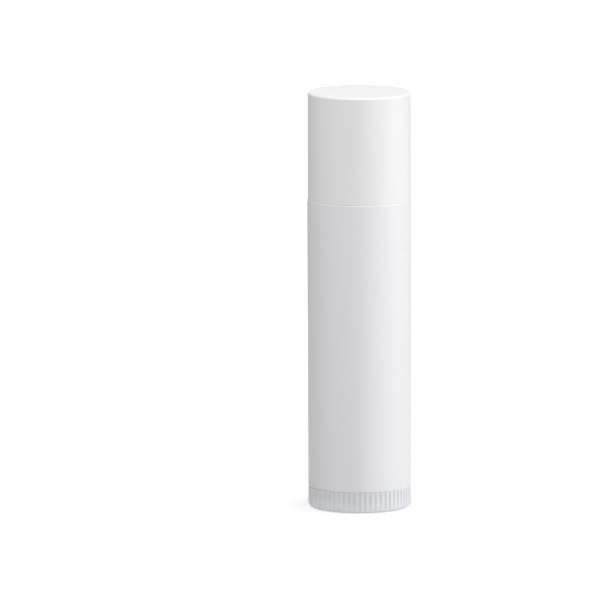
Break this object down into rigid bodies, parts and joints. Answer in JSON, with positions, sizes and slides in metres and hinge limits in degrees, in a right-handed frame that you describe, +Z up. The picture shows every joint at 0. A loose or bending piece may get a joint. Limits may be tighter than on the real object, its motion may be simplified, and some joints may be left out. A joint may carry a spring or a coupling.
{
  "type": "lip balm stick",
  "caption": "Twist-up stick of waxy balm in a slim white tube, with a pull-off cap and a ribbed dial at the base that winds the balm up and down.",
  "frame": {"origin": "middle of the face the stick stands on", "axes": "+Z up the stick, towards the cap; the stick is round, so X and Y are free, and -Y is the side the picture shows"},
  "size_m": [0.0162, 0.0162, 0.065],
  "materials": {
    "white_plastic": "smooth moulded white polypropylene, satin gloss",
    "cap_plastic": "smooth moulded white polypropylene, slightly glossier than the barrel",
    "natural_plastic": "natural, slightly see-through moulded polypropylene",
    "elevator_plastic": "natural moulded polypropylene, matt",
    "balm_wax": "poured waxy balm, soft sheen, slightly translucent"
  },
  "bodies": {
    "barrel": {"barrel": "white_plastic"},
    "dial": {"dial_screw": "natural_plastic"},
    "elevator": {"elevator": "elevator_plastic", "balm": "balm_wax"},
    "cap": {"cap": "cap_plastic"}
  },
  "joints": [
    {"name": "dial_turn", "type": "hinge", "parent": "barrel", "child": "dial", "pos_m": [0, 0, 0], "axis": [0, 0, 1], "range_deg": [0, 2880]},
    {"name": "elevator_rise", "type": "slide", "parent": "barrel", "child": "elevator", "axis": [0, 0, 1], "range_m": [0, 0.04]},
    {"name": "cap_pull", "type": "slide", "parent": "elevator", "child": "cap", "axis": [0, 0, 1], "range_m": [0, 0.025]}
  ],
  "couplings": [
    {"joint": "dial_turn", "follows": "elevator_rise", "rad_per_m": 1256.6}
  ]
}
